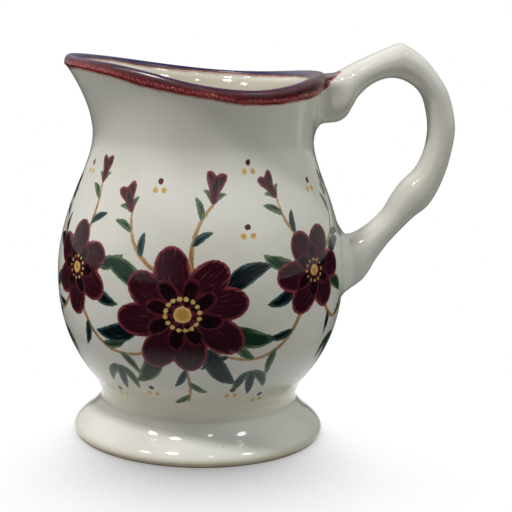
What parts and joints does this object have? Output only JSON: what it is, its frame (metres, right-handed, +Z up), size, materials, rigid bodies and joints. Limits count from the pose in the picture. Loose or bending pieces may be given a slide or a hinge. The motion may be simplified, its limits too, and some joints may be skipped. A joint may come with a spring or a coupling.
{
  "type": "cream jug",
  "caption": "Small glazed ceramic cream jug with a round belly on a pedestal foot, a flared mouth with a pulled pouring lip, a coloured rim band and an ear-shaped handle.",
  "frame": {"origin": "on the ground under the middle of the foot, at the centre of the foot ring's standing face", "axes": "+Z up along the jug's axis, +X towards the handle, -X towards the pouring lip"},
  "size_m": [0.1051, 0.076, 0.105],
  "materials": {
    "glaze": "glossy clear glaze over cream clay, painted under the glaze",
    "rim_glaze": "glossy maroon glaze, streaked",
    "bare_clay": "matte, unglazed"
  },
  "bodies": {
    "root": {"foot_ring": "bare_clay", "pedestal_foot": "glaze", "jug_body": "glaze", "rim_band": "rim_glaze", "handle": "glaze", "upper_handle_joint": "glaze", "lower_handle_joint": "glaze"}
  },
  "joints": []
}
